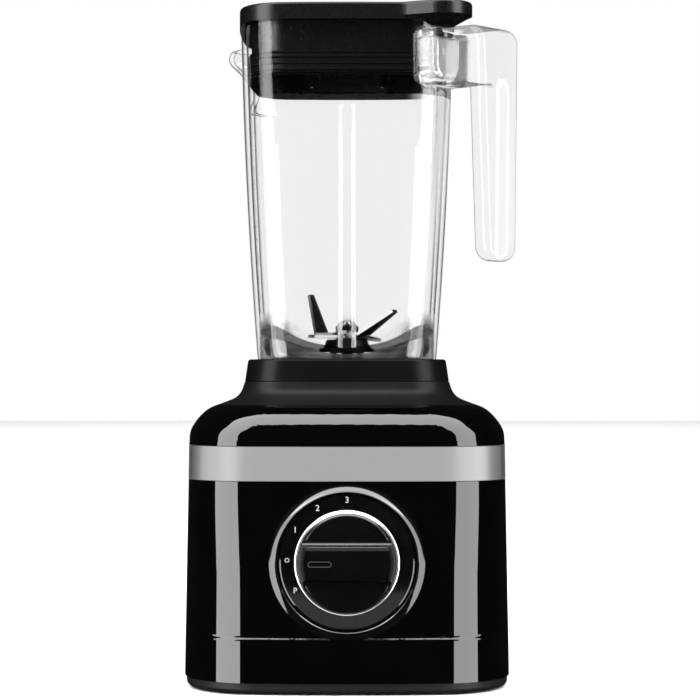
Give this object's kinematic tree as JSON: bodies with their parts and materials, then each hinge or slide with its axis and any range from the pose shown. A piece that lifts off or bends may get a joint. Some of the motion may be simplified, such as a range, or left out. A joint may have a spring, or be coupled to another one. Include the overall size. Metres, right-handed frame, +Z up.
{
  "type": "countertop blender",
  "caption": "Countertop blender: glossy rounded-square motor base with a rotary speed knob, and a lift-off clear jar with hook handle, blades, plug lid and fill cap.",
  "frame": {"origin": "motor axis on the plane that the foot ring stands on", "axes": "+Z up along the motor and blade axis, -Y to the front with the dial, +X to the right; the handle points to +X -Y, the spout to -X +Y"},
  "size_m": [0.1958, 0.2184, 0.4],
  "materials": {
    "gloss_black": "high-gloss black plastic",
    "satin_silver": "satin silver",
    "matte_black": "fine-grained matt black plastic",
    "dark_grey": "matt dark grey plastic",
    "black_rubber": "matt rubber",
    "clear_plastic": "clear copolyester",
    "lid_black": "satin black plastic",
    "chrome": "bright chrome",
    "stainless": "ground stainless steel",
    "steel": "plain steel",
    "lamination": "stacked electrical steel",
    "copper": "enamelled copper",
    "carbon": "pressed carbon",
    "phenolic": "moulded phenolic",
    "board_green": "circuit board",
    "zinc": "die-cast"
  },
  "bodies": {
    "base": {"housing": "gloss_black", "trim_band": "satin_silver", "neck": "matte_black", "foot_tray": "dark_grey", "foot_ring": "black_rubber", "tray_screws": "steel", "neck_screws": "steel", "cord_gland": "black_rubber", "dial_bezel": "gloss_black", "dial_plate": "gloss_black", "rotary_switch": "phenolic", "switch_nut": "steel", "control_board": "board_green", "stator_core": "lamination", "field_coils": "copper", "upper_bracket": "zinc", "lower_bracket": "zinc", "upper_bearing": "steel", "lower_bearing": "steel", "tie_bolts": "steel", "stator_spacers": "steel", "motor_dampers": "black_rubber", "motor_screws": "steel", "brush_holders": "phenolic", "carbon_brushes": "carbon", "brush_springs": "steel"},
    "knob": {"knob": "matte_black", "knob_ring": "chrome", "switch_spindle": "steel"},
    "rotor": {"motor_shaft": "steel", "armature_core": "lamination", "armature_windings": "copper", "commutator": "copper", "cooling_fan": "matte_black", "drive_coupling": "matte_black"},
    "jar": {"jar": "clear_plastic", "jar_collar": "matte_black", "jar_gasket": "black_rubber", "blade_bearing": "matte_black", "shaft_seal": "black_rubber"},
    "blade": {"blade_upper": "stainless", "blade_lower": "stainless", "blade_spacer": "stainless", "blade_shaft": "stainless", "blade_nut": "stainless", "jar_coupling": "matte_black"},
    "lid": {"lid": "lid_black", "lid_seal": "black_rubber"},
    "cap": {"fill_cap": "lid_black"}
  },
  "joints": [
    {"name": "knob_turn", "type": "hinge", "parent": "base", "child": "knob", "pos_m": [0, -0.1045, 0.0755], "axis": [0, 1, 0], "range_deg": [-30, 90]},
    {"name": "rotor_spin", "type": "hinge", "parent": "base", "child": "rotor", "pos_m": [0, 0, 0.1], "axis": [0, 0, 1], "continuous": true},
    {"name": "jar_lift", "type": "slide", "parent": "base", "child": "jar", "axis": [0, 0, 1], "range_m": [0, 0.12]},
    {"name": "blade_spin", "type": "hinge", "parent": "jar", "child": "blade", "pos_m": [0, 0, 0.2], "axis": [0, 0, 1], "continuous": true},
    {"name": "lid_lift", "type": "slide", "parent": "jar", "child": "lid", "axis": [0, 0, 1], "range_m": [0, 0.1]},
    {"name": "cap_lift", "type": "slide", "parent": "lid", "child": "cap", "axis": [0, 0, 1], "range_m": [0, 0.07]}
  ],
  "couplings": [
    {"joint": "blade_spin", "follows": "rotor_spin", "ratio": 1}
  ]
}
